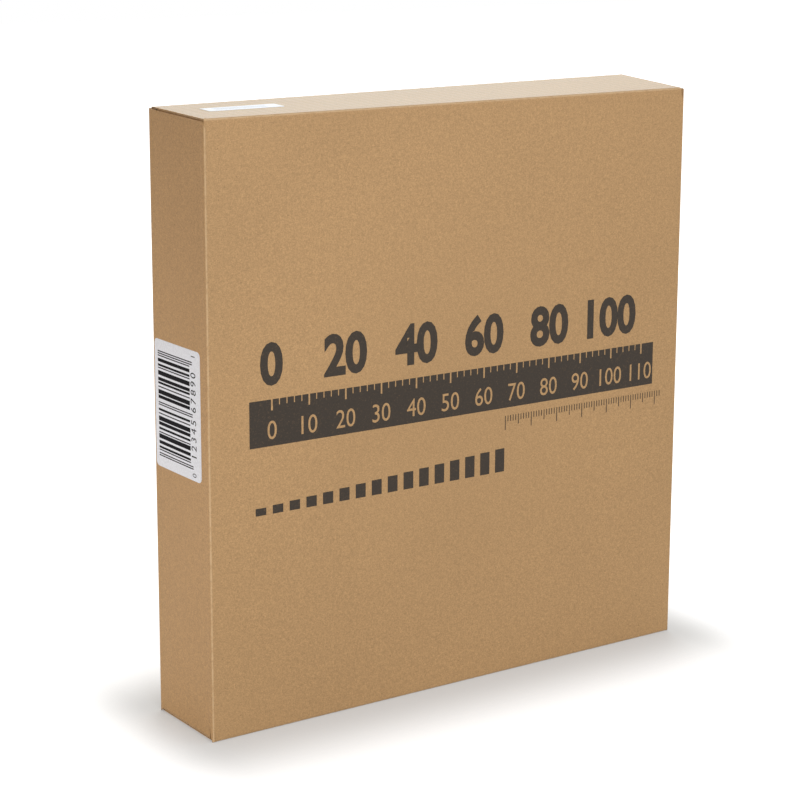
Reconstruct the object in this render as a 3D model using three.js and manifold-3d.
// A floor scale in its shipping carton: a tuck-top corrugated carton, two moulded pulp caps,
// a booklet and the scale itself, standing on its lower edge with its platform to the front.
// Millimetres. X runs along the front of the carton, Y from the front to the back and Z up.
// The origin is under the middle of the carton.

import * as THREE from 'three';
import { RoundedBoxGeometry } from 'three/addons/geometries/RoundedBoxGeometry.js';
import { mergeVertices } from 'three/addons/utils/BufferGeometryUtils.js';
import Module from 'manifold-3d';

const wasm = await Module();
wasm.setup();

// Carton, outside sizes
const cartonWidth = 350;
const cartonDepth = 64;
const cartonHeight = 362;
const board = 3;
const foldRadius = 2.4;
const foldGap = 0.4;
const layerGap = 0.3;

// Carton top
const lidSideInset = 1.5;
const tuckSlot = 3;
const tuckDepth = 14;
const tuckSideInset = 6;
const tuckCornerRadius = 7;
const dustFlapLength = 50;
const dustFlapTaper = 0.6;
const dustFlapClearance = 0.8;

// Carton bottom
const bottomSideInset = 1.5;
const bottomSeamGap = 0.6;
const bottomDustLength = 52;
const bottomDustClearance = 0.8;
const lapWidth = 30;
const lapShort = 6;

// Labels
const labelThickness = 0.2;
const sideLabelWidth = 53;
const sideLabelHeight = 76.2;
const sideLabelFromBack = 2.6;
const sideLabelFromTop = 132;
const sideLabelCorner = 3;
const topLabelWidth = 55;
const topLabelDepth = 16;
const topLabelFromLeft = 20;
const topLabelFromFront = 26;
const topLabelCorner = 1;

// Packing caps
const capClearance = 0.4;
const capEndWall = 12;
const capFaceWall = 4.4;
const capBlock = 14;
const capLength = 45;
const capHeadroom = 9.8;
const capCorner = 3;
const capNotchRadius = 14;
const pocketClearance = 0.6;

// Booklet
const bookletWidth = 148;
const bookletHeight = 210;
const bookletThickness = 2;
const bookletGap = 0.3;

// Scale, measured as it lies on the floor
const seatGap = 0.3;
const platformCorner = 30;
const platformSheet = 1.2;
const platformSkirt = 22;
const trayGap = 0.8;
const trayFloor = 2.5;
const trayWall = 2.4;
const trayHeight = 17;
const trayLift = 7;

// Mat
const matThickness = 1.4;
const matInset = 10;
const matDisplayStrip = 84;
const matCorner = 22;
const grooveWidth = 3;
const groovePitch = 12;
const grooveDepth = 0.6;
const grooveInset = 14;

// Feet and load cells
const footInset = 44;
const footRadius = 17;
const footPad = 5;
const footNeckRadius = 9;
const neckClearance = 1.2;
const ringRadius = 23;
const ringHoleRadius = 13;
const ringHeight = 2.6;
const cellSize = 34;
const cellThickness = 3;
const cellCorner = 3;
const cellSlotWidth = 3;
const cellSlotInset = 6;

// Display and electronics
const displayInset = 50;
const bezelWidth = 122;
const bezelLength = 56;
const bezelCorner = 8;
const bezelRim = 5;
const bezelWall = 4.5;
const bezelDrop = 6.6;
const windowMargin = 11;
const windowCorner = 4;
const lensThickness = 1.5;
const lcdThickness = 2.8;
const circuitThickness = 1.6;
const circuitOverhang = 8;
const circuitCorner = 3;
const chipSize = 14;
const chipThickness = 2;
const chipOffset = 34;
const switchSize = 6;
const switchHeight = 4;
const postRadius = 3;
const postInset = 5;

// Unit button
const buttonRadius = 4.5;
const buttonFlangeRadius = 6.5;
const buttonFlange = 1.4;
const buttonStemRadius = 2;
const buttonTravel = 1.2;
const buttonRecess = 0.5;
const buttonHoleClearance = 0.4;

// Battery bay
const batteryRadius = 5.25;
const batteryLength = 44.5;
const batteryTipRadius = 1.9;
const batteryTip = 1;
const batteryBevel = 0.4;
const batteryGap = 0.8;
const batteryCount = 4;
const contactThickness = 0.5;
const springLength = 3;
const springTipRadius = 1.6;
const springBaseRadius = 3.4;
const bayWall = 2;
const bayOffset = -34;
const panFloor = 2.5;
const doorThickness = 2.2;
const doorLedge = 4;
const doorSideGap = 0.4;
const doorTravel = 8;
const doorCorner = 2;
const doorRib = 1.6;
const doorRibInset = 1.5;
const doorRibHeight = 2;

// Screws
const screwInsetX = 64;
const screwInsetY = 95;
const screwRadius = 1.5;
const screwHeadRadius = 3.5;
const screwHead = 1.8;
const screwLength = 14;
const screwClearance = 0.35;
const bossRadius = 4.2;
const counterSink = 1.9;

// Wires
const wireRadius = 1.1;
const wireSteps = 14;
const wireHalfSides = 3;
const wireLane = 30;
const wireTurn = 12;
const wireSpring = 1.2;
const wireFloorGap = 0.7;
const wireClimbShare = 0.2;

// Shared by every cut, and the smoothness of curves
const overrun = 4;
const cornerSteps = 3;
const roundSteps = 20;
const foldSteps = 3;

// Places that follow from the sizes above
const half = (length) => length / 2;
const rightFace = half(cartonWidth);
const backFace = half(cartonDepth);
const innerRight = rightFace - board;
const innerBack = backFace - board;
const sideTop = cartonHeight - board - layerGap;
const lidRear = innerBack - tuckSlot;
const lidHalfWidth = rightFace - lidSideInset;
const bottomDustBase = board + layerGap;
const floorTop = bottomDustBase + board + layerGap;
const capTop = sideTop - board - capHeadroom;
const capHeight = capTop - floorTop;
const capRight = innerRight - capClearance;
const capFront = -innerBack + capClearance;
const capBack = innerBack - board - layerGap - capClearance;
const capDepth = capBack - capFront;
const scaleWidth = (capRight - capEndWall - pocketClearance) * 2;
const scaleLength = capHeight - (capBlock + pocketClearance) * 2;
const scaleHeight = capDepth - (capFaceWall + pocketClearance) * 2;
const scaleBack = capBack - capFaceWall - pocketClearance;
const scaleMiddle = floorTop + half(capHeight);

// Heights inside the scale, from the floor that it is used on
const platformTop = scaleHeight - matThickness - seatGap;
const platformUnder = platformTop - platformSheet;
const trayFloorTop = trayLift + trayFloor;
const trayHalfWidth = half(scaleWidth) - platformSheet - trayGap;
const trayHalfLength = half(scaleLength) - platformSheet - trayGap;
const trayCorner = platformCorner - platformSheet - trayGap;
const ringTop = trayFloorTop + ringHeight;
const cellBase = ringTop + seatGap;
const footTop = cellBase - seatGap;
const footX = half(scaleWidth) - footInset;
const footY = half(scaleLength) - footInset;
const displayY = half(scaleLength) - displayInset;
const bezelUnder = platformTop + seatGap;
const bezelBottom = bezelUnder - bezelDrop;
const windowWidth = bezelWidth - bezelRim * 2;
const windowLength = bezelLength - bezelRim * 2;
const lensWidth = windowWidth - (bezelWall + seatGap) * 2;
const lensLength = windowLength - (bezelWall + seatGap) * 2;
const lensBase = bezelUnder - seatGap - lensThickness;
const lcdBase = lensBase - seatGap - lcdThickness;
const circuitTop = bezelBottom - seatGap;
const circuitBase = circuitTop - circuitThickness;
const circuitWidth = windowWidth + circuitOverhang * 2;
const circuitLength = windowLength + circuitOverhang;
const switchBase = circuitBase - seatGap - switchHeight;
const buttonTop = switchBase - buttonTravel - seatGap;

// Battery bay, from its middle
const panTop = trayLift + doorThickness + seatGap + panFloor;
const bayHalfLength = half(batteryLength + batteryTip) + springLength + contactThickness + batteryGap;
const bayHalfWidth = half(batteryCount * (batteryRadius * 2 + batteryGap) + batteryGap);
const batteryAxis = panTop + seatGap + batteryRadius;
const bayCeiling = batteryAxis + batteryRadius + batteryGap;
const doorHalfLength = bayHalfLength + doorLedge;
const doorHalfWidth = bayHalfWidth + doorLedge;

const kraft = new THREE.MeshStandardMaterial({ color: 0xb8966c, roughness: 0.92, metalness: 0 });
const labelPaper = new THREE.MeshStandardMaterial({ color: 0xe6e6ea, roughness: 0.55, metalness: 0 });
const pulp = new THREE.MeshStandardMaterial({ color: 0xa89f92, roughness: 0.97, metalness: 0 });
const bookPaper = new THREE.MeshStandardMaterial({ color: 0xf2f0ea, roughness: 0.7, metalness: 0 });
const whiteSteel = new THREE.MeshStandardMaterial({ color: 0xe9eaea, roughness: 0.35, metalness: 0.1 });
const trayPlastic = new THREE.MeshStandardMaterial({ color: 0xc9cbcd, roughness: 0.55, metalness: 0 });
const darkPlastic = new THREE.MeshStandardMaterial({ color: 0x2c2e31, roughness: 0.45, metalness: 0 });
const matRubber = new THREE.MeshStandardMaterial({ color: 0x3a3d40, roughness: 0.9, metalness: 0 });
const footRubber = new THREE.MeshStandardMaterial({ color: 0x1f2021, roughness: 0.85, metalness: 0 });
const plainSteel = new THREE.MeshStandardMaterial({ color: 0xaab0b5, roughness: 0.35, metalness: 1 });
const clearPlastic = new THREE.MeshStandardMaterial({ color: 0xdfe6e8, roughness: 0.08, metalness: 0 });
const lcdGlass = new THREE.MeshStandardMaterial({ color: 0x9fae9a, roughness: 0.2, metalness: 0 });
const circuitGreen = new THREE.MeshStandardMaterial({ color: 0x1f5a3a, roughness: 0.5, metalness: 0 });
const batteryJacket = new THREE.MeshStandardMaterial({ color: 0x4b5a66, roughness: 0.4, metalness: 0.3 });
const wireJacket = new THREE.MeshStandardMaterial({ color: 0x8c2f2b, roughness: 0.5, metalness: 0 });

// Geometry helpers

// A solid that can be cut and joined, from any closed three.js geometry.
function solid(geometry) {
  const plain = geometry.index ? geometry.toNonIndexed() : geometry.clone();
  plain.deleteAttribute('normal');
  plain.deleteAttribute('uv');
  const merged = mergeVertices(plain);
  const vertProperties = new Float32Array(merged.attributes.position.array);
  const triVerts = new Uint32Array(merged.index.array);
  return new wasm.Manifold(new wasm.Mesh({ numProp: 3, vertProperties, triVerts }));
}

function geometryOf(body) {
  const mesh = body.getMesh();
  const geometry = new THREE.BufferGeometry();
  geometry.setAttribute('position', new THREE.BufferAttribute(mesh.vertProperties, 3));
  geometry.setIndex(new THREE.BufferAttribute(mesh.triVerts, 1));
  geometry.computeVertexNormals();
  return geometry;
}

// A box between two corners, each [x, y, z].
function boxBetween(low, high) {
  const size = high.map((value, axis) => value - low[axis]);
  const middle = high.map((value, axis) => half(value + low[axis]));
  return solid(new THREE.BoxGeometry(...size).translate(...middle));
}

function roundedOutline(halfX, halfY, radius) {
  const shape = new THREE.Shape();
  shape.moveTo(-halfX + radius, -halfY);
  shape.lineTo(halfX - radius, -halfY);
  shape.absarc(halfX - radius, -halfY + radius, radius, -Math.PI / 2, 0);
  shape.lineTo(halfX, halfY - radius);
  shape.absarc(halfX - radius, halfY - radius, radius, 0, Math.PI / 2);
  shape.lineTo(-halfX + radius, halfY);
  shape.absarc(-halfX + radius, halfY - radius, radius, Math.PI / 2, Math.PI);
  shape.lineTo(-halfX, -halfY + radius);
  shape.absarc(-halfX + radius, -halfY + radius, radius, Math.PI, Math.PI * 3 / 2);
  return shape;
}

function extruded(shape, depth) {
  return new THREE.ExtrudeGeometry(shape, { depth, bevelEnabled: false, curveSegments: cornerSteps });
}

// An upright plate with rounded corners, from z = base to z = top, round the point (x, y).
function plate(halfX, halfY, radius, base, top, x = 0, y = 0) {
  return solid(extruded(roundedOutline(halfX, halfY, radius), top - base).translate(x, y, base));
}

function cylinder(radius, base, top, x = 0, y = 0) {
  const geometry = new THREE.CylinderGeometry(radius, radius, top - base, roundSteps);
  return solid(geometry.rotateX(Math.PI / 2).translate(x, y, half(base + top)));
}

// A turned piece: profile points are [radius, z], from the axis round to the axis.
function turned(profile, x = 0, y = 0) {
  const points = profile.map(([radius, z]) => new THREE.Vector2(radius, z));
  const geometry = new THREE.LatheGeometry(points, roundSteps);
  return solid(geometry.rotateX(Math.PI / 2).translate(x, y, 0));
}

// A prism whose outline lies in the YZ plane, between two x values.
function prismAlongX(points, fromX, toX) {
  const shape = new THREE.Shape(points.map(([y, z]) => new THREE.Vector2(y, z)));
  const geometry = extruded(shape, toX - fromX);
  geometry.rotateX(Math.PI / 2);
  geometry.rotateZ(Math.PI / 2);
  return solid(geometry.translate(fromX, 0, 0));
}

// A prism whose outline lies in the XZ plane, between two y values.
function prismAlongY(points, fromY, toY) {
  const shape = new THREE.Shape(points.map(([x, z]) => new THREE.Vector2(x, z)));
  const geometry = extruded(shape, toY - fromY);
  geometry.rotateX(Math.PI / 2);
  return solid(geometry.translate(0, toY, 0));
}

// What a mitre at an outer corner takes away, as an outline in (across, z).
// inward is the direction from the corner into the carton, up is the side of the line cut away.
// Each of the two panels at a fold stays half of the fold's gap clear of the line.
function mitreOutline(corner, z, inward, slope, up) {
  const reach = board + overrun;
  const outer = corner - inward * overrun;
  const inner = corner + inward * reach;
  const outerZ = z - slope * overrun;
  const innerZ = z + slope * reach;
  const shift = -up * half(foldGap);
  const far = up * (reach + overrun) * 2;
  const points = [[outer, outerZ + shift], [inner, innerZ + shift], [inner, z + far], [outer, z + far]];
  return THREE.ShapeUtils.isClockWise(points.map(([x, y]) => new THREE.Vector2(x, y)))
    ? points.reverse()
    : points;
}

const objectGroup = new THREE.Group();

function addPart(group, name, body, material) {
  const mesh = new THREE.Mesh(geometryOf(body), material);
  mesh.name = name;
  group.add(mesh);
}

// Carton

// The rounded outer form that every folded panel is trimmed to.
function foldedEnvelope(fromY, toY) {
  const geometry = new RoundedBoxGeometry(cartonWidth, toY - fromY, cartonHeight, foldSteps, foldRadius);
  return solid(geometry.translate(0, half(fromY + toY), half(cartonHeight)));
}

// Four upright walls and the glued lap, all one sheet of board.
function cartonSleeve() {
  const wide = rightFace + overrun;
  const deep = backFace + overrun;
  const high = cartonHeight + overrun;
  const lap = boxBetween(
    [-innerRight, innerBack - board, floorTop],
    [-innerRight + lapWidth, innerBack, sideTop - board - lapShort],
  );
  let sleeve = boxBetween([-rightFace, -backFace, 0], [rightFace, backFace, cartonHeight])
    .intersect(foldedEnvelope(-backFace, backFace))
    .subtract(boxBetween([-innerRight, -innerBack, -overrun], [innerRight, innerBack, high]))
    .add(lap)
    .subtract(boxBetween([-wide, -innerBack, sideTop], [wide, deep, high]))
    .subtract(boxBetween([-wide, -innerBack, -overrun], [-innerRight, innerBack, bottomDustBase]))
    .subtract(boxBetween([innerRight, -innerBack, -overrun], [wide, innerBack, bottomDustBase]));
  const lidFold = mitreOutline(-backFace, cartonHeight, 1, -1, 1);
  const frontFold = mitreOutline(-backFace, 0, 1, 1, -1);
  const backFold = mitreOutline(backFace, 0, -1, 1, -1);
  sleeve = sleeve
    .subtract(prismAlongX(lidFold, -wide, wide).intersect(boxBetween([-wide, -deep, 0], [wide, 0, high])))
    .subtract(prismAlongX(frontFold, -wide, wide))
    .subtract(prismAlongX(backFold, -wide, wide));
  for (const side of [-1, 1]) {
    const topFold = mitreOutline(side * rightFace, sideTop, -side, -1, 1);
    const lowFold = mitreOutline(side * rightFace, bottomDustBase, -side, 1, -1);
    sleeve = sleeve
      .subtract(prismAlongY(topFold, -innerBack, innerBack))
      .subtract(prismAlongY(lowFold, -innerBack, innerBack));
  }
  return sleeve;
}

// The front and back flaps meet in the middle. side is -1 at the front and 1 at the back.
function bottomFlap(side) {
  const edge = rightFace - bottomSideInset;
  const ends = [side * backFace, side * half(bottomSeamGap)];
  return boxBetween([-edge, Math.min(...ends), 0], [edge, Math.max(...ends), board])
    .intersect(foldedEnvelope(-backFace, backFace))
    .subtract(prismAlongX(mitreOutline(side * backFace, 0, -side, 1, 1), -rightFace, rightFace));
}

function bottomDustFlap(side) {
  const low = bottomDustBase;
  const edge = innerBack - bottomDustClearance;
  const ends = [side * rightFace, side * (rightFace - bottomDustLength)];
  const fold = mitreOutline(side * rightFace, low, -side, 1, 1);
  return boxBetween([Math.min(...ends), -edge, low], [Math.max(...ends), edge, low + board])
    .subtract(prismAlongY(fold, -innerBack, innerBack));
}

function lidPanel() {
  const top = cartonHeight;
  const under = top - board;
  return boxBetween([-lidHalfWidth, -backFace, under], [lidHalfWidth, lidRear, top])
    .intersect(foldedEnvelope(-backFace, lidRear))
    .subtract(prismAlongX(mitreOutline(-backFace, top, 1, -1, -1), -rightFace, rightFace))
    .subtract(prismAlongX(mitreOutline(lidRear, top, -1, -1, -1), -rightFace, rightFace));
}

function lidTuck() {
  const edge = lidHalfWidth - tuckSideInset;
  const outline = roundedOutline(edge, tuckDepth, tuckCornerRadius);
  const slab = extruded(outline, board).rotateX(Math.PI / 2).translate(0, lidRear, cartonHeight);
  const keep = boxBetween([-edge, lidRear - board, 0], [edge, lidRear, cartonHeight]);
  return solid(slab)
    .intersect(keep)
    .intersect(foldedEnvelope(-backFace, lidRear))
    .subtract(prismAlongX(mitreOutline(lidRear, cartonHeight, -1, -1, 1), -rightFace, rightFace));
}

// A dust flap narrows away from the lid's fold, so that the lid clears it while both turn.
function topDustFlap(side) {
  const front = -innerBack + dustFlapClearance;
  const rear = lidRear - board - dustFlapClearance;
  const tip = rightFace - dustFlapLength;
  const shape = new THREE.Shape([
    new THREE.Vector2(rightFace, front),
    new THREE.Vector2(rightFace, rear),
    new THREE.Vector2(tip, rear),
    new THREE.Vector2(tip, front + dustFlapLength * dustFlapTaper),
  ]);
  const slab = solid(extruded(shape, board).translate(0, 0, sideTop - board));
  const placed = side > 0 ? slab : slab.mirror([1, 0, 0]);
  const fold = mitreOutline(side * rightFace, sideTop, -side, -1, -1);
  return placed.subtract(prismAlongY(fold, -innerBack, innerBack));
}

function sideLabel() {
  const outline = roundedOutline(half(sideLabelWidth), half(sideLabelHeight), sideLabelCorner);
  const slab = extruded(outline, labelThickness).rotateX(Math.PI / 2).rotateZ(-Math.PI / 2);
  const y = backFace - sideLabelFromBack - half(sideLabelWidth);
  const z = cartonHeight - sideLabelFromTop - half(sideLabelHeight);
  return solid(slab.translate(-rightFace, y, z));
}

function topLabel() {
  const x = -rightFace + topLabelFromLeft + half(topLabelWidth);
  const y = -backFace + topLabelFromFront + half(topLabelDepth);
  const high = cartonHeight + labelThickness;
  return plate(half(topLabelWidth), half(topLabelDepth), topLabelCorner, cartonHeight, high, x, y);
}

function addCarton(group) {
  addPart(group, 'carton_sleeve', cartonSleeve(), kraft);
  addPart(group, 'bottom_front_flap', bottomFlap(-1), kraft);
  addPart(group, 'bottom_back_flap', bottomFlap(1), kraft);
  addPart(group, 'bottom_dust_flap_left', bottomDustFlap(-1), kraft);
  addPart(group, 'bottom_dust_flap_right', bottomDustFlap(1), kraft);
  addPart(group, 'lid_panel', lidPanel(), kraft);
  addPart(group, 'lid_tuck_flap', lidTuck(), kraft);
  addPart(group, 'top_dust_flap_left', topDustFlap(-1), kraft);
  addPart(group, 'top_dust_flap_right', topDustFlap(1), kraft);
  addPart(group, 'side_label', sideLabel(), labelPaper);
  addPart(group, 'top_label', topLabel(), labelPaper);
}

// Packing

// A cap is a tray stood on end: it holds one side of the scale in a pocket of its own size.
function packingCap(side) {
  const geometry = new RoundedBoxGeometry(capLength, capDepth, capHeight, foldSteps, capCorner);
  const x = side * (capRight - half(capLength));
  const outer = solid(geometry.translate(x, half(capFront + capBack), scaleMiddle));
  const pocketHalf = [half(scaleLength), half(scaleHeight)].map((value) => value + pocketClearance);
  const floorX = half(scaleWidth) + pocketClearance;
  const middleY = scaleBack - half(scaleHeight);
  const ends = [side * floorX, side * (capRight - capLength - overrun)];
  const pocket = boxBetween(
    [Math.min(...ends), middleY - pocketHalf[1], scaleMiddle - pocketHalf[0]],
    [Math.max(...ends), middleY + pocketHalf[1], scaleMiddle + pocketHalf[0]],
  );
  const notchX = side * (capRight - capLength);
  const notch = new THREE.CylinderGeometry(capNotchRadius, capNotchRadius, capDepth * 2, roundSteps);
  return outer.subtract(pocket).subtract(solid(notch.translate(notchX, 0, scaleMiddle)));
}

function booklet() {
  const rear = scaleBack - scaleHeight - bookletGap;
  return boxBetween(
    [-half(bookletWidth), rear - bookletThickness, floorTop],
    [half(bookletWidth), rear, floorTop + bookletHeight],
  );
}

function addPacking(group) {
  addPart(group, 'packing_cap_left', packingCap(-1), pulp);
  addPart(group, 'packing_cap_right', packingCap(1), pulp);
  addPart(group, 'instruction_booklet', booklet(), bookPaper);
}

// Scale, built lying on its feet: X across, Y towards the display, Z up

function platformShell() {
  const skirtBottom = platformTop - platformSkirt;
  const outer = plate(half(scaleWidth), half(scaleLength), platformCorner, skirtBottom, platformTop);
  const inner = plate(
    half(scaleWidth) - platformSheet,
    half(scaleLength) - platformSheet,
    platformCorner - platformSheet,
    skirtBottom - overrun,
    platformUnder,
  );
  let shell = outer.subtract(inner);
  shell = shell.subtract(plate(
    half(windowWidth) + seatGap,
    half(windowLength) + seatGap,
    windowCorner,
    platformUnder - overrun,
    platformTop + overrun,
    0,
    displayY,
  ));
  for (const [x, y] of screwPlaces()) {
    const boss = cylinder(bossRadius, trayFloorTop + seatGap, platformUnder + half(platformSheet), x, y);
    const bore = cylinder(screwRadius + screwClearance, trayFloorTop - overrun, bossBoreTop(), x, y);
    shell = shell.add(boss).subtract(bore);
  }
  for (const side of [-1, 1]) {
    const postX = side * (half(circuitWidth) - postInset);
    const postTop = platformUnder + half(platformSheet);
    shell = shell.add(cylinder(postRadius, circuitTop + seatGap, postTop, postX, displayY));
  }
  return shell;
}

function screwPlaces() {
  const x = half(scaleWidth) - screwInsetX;
  const y = half(scaleLength) - screwInsetY;
  return [[-x, -y], [x, -y], [-x, y], [x, y]];
}

function bossBoreTop() {
  return trayLift + counterSink + screwLength;
}

function matSheet() {
  const halfX = half(scaleWidth) - matInset;
  const low = -half(scaleLength) + matInset;
  const high = half(scaleLength) - matDisplayStrip;
  const base = platformTop + seatGap;
  const middle = half(low + high);
  let mat = plate(halfX, half(high - low), matCorner, base, scaleHeight, 0, middle);
  const grooveHalf = halfX - grooveInset;
  const count = Math.floor((high - low - grooveInset * 2) / groovePitch);
  for (let index = 0; index <= count; index += 1) {
    const y = middle + (index - half(count)) * groovePitch;
    mat = mat.subtract(boxBetween(
      [-grooveHalf, y - half(grooveWidth), scaleHeight - grooveDepth],
      [grooveHalf, y + half(grooveWidth), scaleHeight + overrun],
    ));
  }
  return mat;
}

function baseTray() {
  const outer = plate(trayHalfWidth, trayHalfLength, trayCorner, trayLift, trayLift + trayHeight);
  const inner = plate(
    trayHalfWidth - trayWall,
    trayHalfLength - trayWall,
    trayCorner - trayWall,
    trayFloorTop,
    trayLift + trayHeight + overrun,
  );
  let tray = outer.subtract(inner);
  for (const [x, y] of footPlaces()) {
    tray = tray
      .add(cylinder(ringRadius, trayLift + half(trayFloor), ringTop, x, y))
      .subtract(cylinder(ringHoleRadius, trayFloorTop, ringTop + overrun, x, y))
      .subtract(cylinder(footNeckRadius + neckClearance, 0, ringTop, x, y));
  }
  for (const [x, y] of screwPlaces()) {
    tray = tray
      .subtract(cylinder(screwHeadRadius + screwClearance, 0, trayLift + counterSink, x, y))
      .subtract(cylinder(screwRadius + screwClearance, 0, trayFloorTop + overrun, x, y));
  }
  tray = tray.subtract(cylinder(
    buttonRadius + buttonHoleClearance, 0, trayFloorTop + overrun, 0, displayY));
  return tray.add(batteryBay()).subtract(batteryBayCuts());
}

// The pan raises the floor over the door, and the bay's walls and roof stand on it.
function batteryBay() {
  const panLength = doorHalfLength + doorSideGap + panFloor;
  const panLow = bayOffset - doorHalfWidth - doorSideGap - panFloor;
  const panHigh = bayOffset + doorHalfWidth + doorSideGap + doorTravel + panFloor;
  const pan = boxBetween([-panLength, panLow, trayLift], [panLength, panHigh, panTop]);
  const walls = boxBetween(
    [-bayHalfLength - bayWall, bayOffset - bayHalfWidth - bayWall, trayFloorTop],
    [bayHalfLength + bayWall, bayOffset + bayHalfWidth + bayWall, bayCeiling + bayWall],
  );
  return pan.add(walls);
}

function batteryBayCuts() {
  const recessLength = doorHalfLength + doorSideGap;
  const recessLow = bayOffset - doorHalfWidth - doorSideGap;
  const recessHigh = bayOffset + doorHalfWidth + doorSideGap + doorTravel;
  const recess = boxBetween(
    [-recessLength, recessLow, trayLift - overrun],
    [recessLength, recessHigh, trayLift + doorThickness + seatGap],
  );
  const hollow = boxBetween(
    [-bayHalfLength, bayOffset - bayHalfWidth, trayLift - overrun],
    [bayHalfLength, bayOffset + bayHalfWidth, bayCeiling],
  );
  return recess.add(hollow);
}

function batteryDoor() {
  const base = trayLift;
  const top = trayLift + doorThickness;
  const ribY = bayOffset - bayHalfWidth + doorRibInset;
  const ribX = bayHalfLength - doorRibInset - doorRib;
  const rib = boxBetween(
    [-ribX, ribY, top - half(doorThickness)],
    [ribX, ribY + doorRib, top + seatGap + doorRibHeight],
  );
  return plate(doorHalfLength, doorHalfWidth, doorCorner, base, top, 0, bayOffset).add(rib);
}

function battery(index) {
  const turn = index % 2 === 0 ? 1 : -1;
  const start = -half(batteryLength + batteryTip);
  const end = start + batteryLength;
  const tip = end + batteryTip;
  const profile = [
    [0, start],
    [batteryRadius - batteryBevel, start],
    [batteryRadius, start + batteryBevel],
    [batteryRadius, end - batteryBevel],
    [batteryRadius - batteryBevel, end],
    [batteryTipRadius, end],
    [batteryTipRadius, tip],
    [0, tip],
  ];
  const points = profile.map(([radius, z]) => new THREE.Vector2(radius, z));
  const geometry = new THREE.LatheGeometry(points, roundSteps);
  geometry.rotateZ(-turn * Math.PI / 2);
  const shift = turn * half(springLength);
  return solid(geometry.translate(shift, batteryLane(index), batteryAxis));
}

function batteryLane(index) {
  const pitch = batteryRadius * 2 + batteryGap;
  return bayOffset + (index - half(batteryCount - 1)) * pitch;
}

// A contact strip has a spring against each flat end and a plain face against each tip.
function contactStrip(side) {
  const outer = side * (bayHalfLength - seatGap);
  const inner = outer - side * contactThickness;
  const halfWidth = bayHalfWidth - seatGap;
  let strip = boxBetween(
    [Math.min(outer, inner), bayOffset - halfWidth, batteryAxis - batteryRadius],
    [Math.max(outer, inner), bayOffset + halfWidth, batteryAxis + batteryRadius],
  );
  for (let index = 0; index < batteryCount; index += 1) {
    const turn = index % 2 === 0 ? 1 : -1;
    if (turn === side) continue;
    const flatEnd = half(batteryLength + batteryTip) - half(springLength) + seatGap;
    const length = bayHalfLength - seatGap - half(contactThickness) - flatEnd;
    const radii = side > 0 ? [springBaseRadius, springTipRadius] : [springTipRadius, springBaseRadius];
    const cone = new THREE.CylinderGeometry(radii[1], radii[0], length, roundSteps).rotateZ(Math.PI / 2);
    const middle = side * (flatEnd + half(length));
    strip = strip.add(solid(cone.translate(middle, batteryLane(index), batteryAxis)));
  }
  return strip;
}

function footPlaces() {
  return [[-footX, -footY], [footX, -footY], [-footX, footY], [footX, footY]];
}

function foot(x, y) {
  return turned([
    [0, 0],
    [footRadius - half(footPad), 0],
    [footRadius, half(footPad)],
    [footRadius, footPad],
    [footNeckRadius, footPad],
    [footNeckRadius, footTop],
    [0, footTop],
  ], x, y);
}

// The slot leaves a tongue in the middle, which is the part that bends.
function loadCell(x, y) {
  const top = cellBase + cellThickness;
  const outer = half(cellSize) - cellSlotInset;
  const inner = outer - cellSlotWidth;
  const cell = plate(half(cellSize), half(cellSize), cellCorner, cellBase, top, x, y);
  const slot = plate(outer, outer, cellCorner, cellBase - overrun, top + overrun, x, y)
    .subtract(plate(inner, outer, cellCorner, cellBase - overrun, top + overrun, x, y + cellSlotWidth));
  return cell.subtract(slot);
}

function displayBezel() {
  const flangeSize = [half(bezelWidth), half(bezelLength), bezelCorner];
  const bodySize = [half(windowWidth), half(windowLength), windowCorner];
  const flange = plate(...flangeSize, bezelUnder, scaleHeight, 0, displayY);
  const body = plate(...bodySize, bezelBottom, bezelUnder, 0, displayY);
  const pocket = boxBetween(
    [-half(lensWidth) - seatGap, displayY - half(lensLength) - seatGap, bezelBottom - overrun],
    [half(lensWidth) + seatGap, displayY + half(lensLength) + seatGap, bezelUnder],
  );
  const view = plate(
    half(windowWidth) - windowMargin,
    half(windowLength) - windowMargin + bezelRim,
    windowCorner,
    bezelBottom,
    scaleHeight + overrun,
    0,
    displayY,
  );
  return flange.add(body).subtract(pocket).subtract(view);
}

function slabInBezel(base, thickness) {
  return boxBetween(
    [-half(lensWidth), displayY - half(lensLength), base],
    [half(lensWidth), displayY + half(lensLength), base + thickness],
  );
}

function circuitBoard() {
  const size = [half(circuitWidth), half(circuitLength), circuitCorner];
  return plate(...size, circuitBase, circuitTop, 0, displayY);
}

function controllerChip() {
  const top = circuitBase - seatGap;
  const size = [half(chipSize), half(chipSize), half(circuitCorner)];
  return plate(...size, top - chipThickness, top, chipOffset, displayY);
}

function unitSwitch() {
  const reach = half(switchSize);
  const top = switchBase + switchHeight;
  return boxBetween([-reach, displayY - reach, switchBase], [reach, displayY + reach, top]);
}

function unitButton() {
  const face = trayLift + buttonRecess;
  const flangeBase = trayFloorTop + seatGap;
  return turned([
    [0, face],
    [buttonRadius, face],
    [buttonRadius, flangeBase],
    [buttonFlangeRadius, flangeBase],
    [buttonFlangeRadius, flangeBase + buttonFlange],
    [buttonStemRadius, flangeBase + buttonFlange],
    [buttonStemRadius, buttonTop],
    [0, buttonTop],
  ], 0, displayY);
}

function housingScrew(x, y) {
  const seat = trayLift + counterSink - seatGap;
  return turned([
    [0, seat - screwHead],
    [screwHeadRadius - half(screwHead), seat - screwHead],
    [screwHeadRadius, seat - half(screwHead)],
    [screwHeadRadius, seat],
    [screwRadius, seat],
    [screwRadius, seat + screwLength],
    [0, seat + screwLength],
  ], x, y);
}

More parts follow.
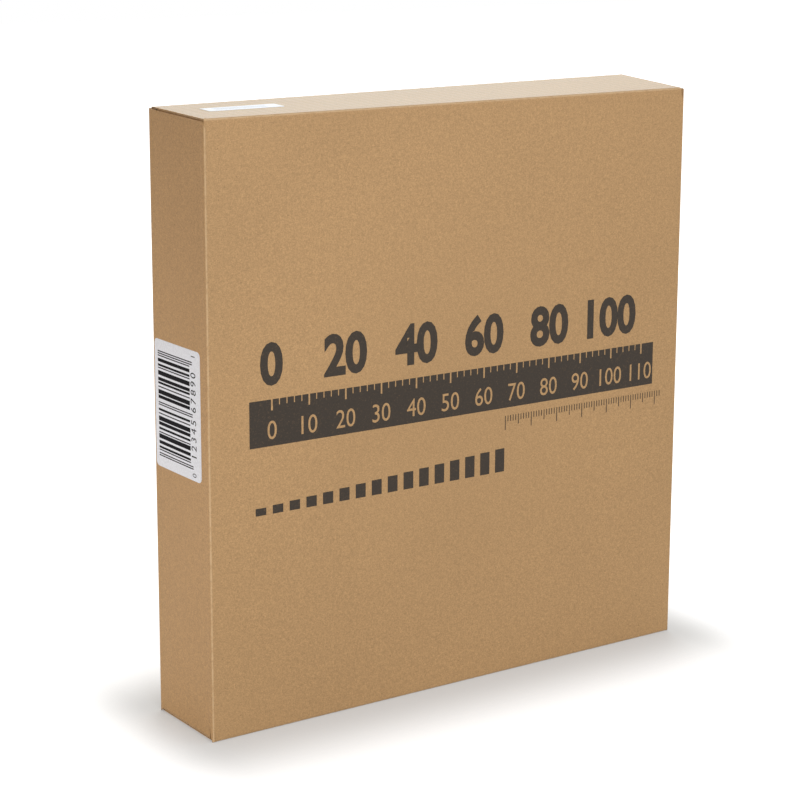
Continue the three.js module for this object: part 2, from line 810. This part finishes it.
// Each wire leaves the inner side of its load cell and climbs to the board from the tray.
// The two at the near end first lie along the tray, beside the battery bay.
function cellWire(sideX, sideY) {
  const lane = sideX * (footX - wireLane);
  const cellEdge = sideX * (footX - half(cellSize) - seatGap - wireRadius);
  const cellZ = cellBase + half(cellThickness) + wireRadius;
  const floorZ = trayFloorTop + wireFloorGap + wireRadius;
  const y = sideY * footY;
  const boardX = sideX * (half(circuitWidth) - wireTurn);
  const nearY = y + wireTurn;
  const turnY = displayY - half(circuitLength);
  const farY = turnY - wireTurn;
  const boardY = sideY > 0 ? y : turnY + wireTurn;
  const boardZ = circuitBase - seatGap;
  const alongTray = [
    new THREE.Vector3(lane, half(y + nearY), half(cellZ + floorZ)),
    new THREE.Vector3(lane, nearY, floorZ + wireSpring),
    new THREE.Vector3(lane, half(nearY + farY), floorZ),
    new THREE.Vector3(lane, farY, floorZ + wireSpring),
    new THREE.Vector3(lane, turnY, floorZ + (boardZ - floorZ) * wireClimbShare),
  ];
  const points = [
    new THREE.Vector3(cellEdge, y, cellZ),
    new THREE.Vector3(half(cellEdge + lane), y, cellZ),
    ...(sideY > 0 ? [new THREE.Vector3(half(lane + boardX), y, half(cellZ + floorZ))] : alongTray),
    new THREE.Vector3(boardX, boardY, half(floorZ + boardZ)),
    new THREE.Vector3(boardX, boardY, boardZ),
  ];
  const route = new THREE.CatmullRomCurve3(points, false, 'centripetal');
  const section = new THREE.Shape();
  section.absarc(0, 0, wireRadius, 0, Math.PI * 2);
  return solid(new THREE.ExtrudeGeometry(section, {
    steps: wireSteps,
    extrudePath: route,
    curveSegments: wireHalfSides,
    bevelEnabled: false,
  }));
}

function addScale(group) {
  addPart(group, 'platform_shell', platformShell(), whiteSteel);
  addPart(group, 'platform_mat', matSheet(), matRubber);
  addPart(group, 'base_tray', baseTray(), trayPlastic);
  addPart(group, 'display_bezel', displayBezel(), darkPlastic);
  addPart(group, 'display_lens', slabInBezel(lensBase, lensThickness), clearPlastic);
  addPart(group, 'lcd_panel', slabInBezel(lcdBase, lcdThickness), lcdGlass);
  addPart(group, 'circuit_board', circuitBoard(), circuitGreen);
  addPart(group, 'controller_chip', controllerChip(), darkPlastic);
  addPart(group, 'unit_switch', unitSwitch(), darkPlastic);
  addPart(group, 'unit_button', unitButton(), darkPlastic);
  addPart(group, 'battery_door', batteryDoor(), trayPlastic);
  addPart(group, 'battery_contact_left', contactStrip(-1), plainSteel);
  addPart(group, 'battery_contact_right', contactStrip(1), plainSteel);
  for (let index = 0; index < batteryCount; index += 1) {
    addPart(group, `battery_${index + 1}`, battery(index), batteryJacket);
  }
  footPlaces().forEach(([x, y], index) => {
    addPart(group, `foot_${index + 1}`, foot(x, y), footRubber);
    addPart(group, `load_cell_${index + 1}`, loadCell(x, y), plainSteel);
    addPart(group, `load_cell_wire_${index + 1}`, cellWire(Math.sign(x), Math.sign(y)), wireJacket);
  });
  screwPlaces().forEach(([x, y], index) => {
    addPart(group, `housing_screw_${index + 1}`, housingScrew(x, y), plainSteel);
  });
}

addCarton(objectGroup);
addPacking(objectGroup);

const scaleGroup = new THREE.Group();
scaleGroup.rotation.x = Math.PI / 2;
scaleGroup.position.set(0, scaleBack, scaleMiddle);
addScale(scaleGroup);
objectGroup.add(scaleGroup);

export default objectGroup;
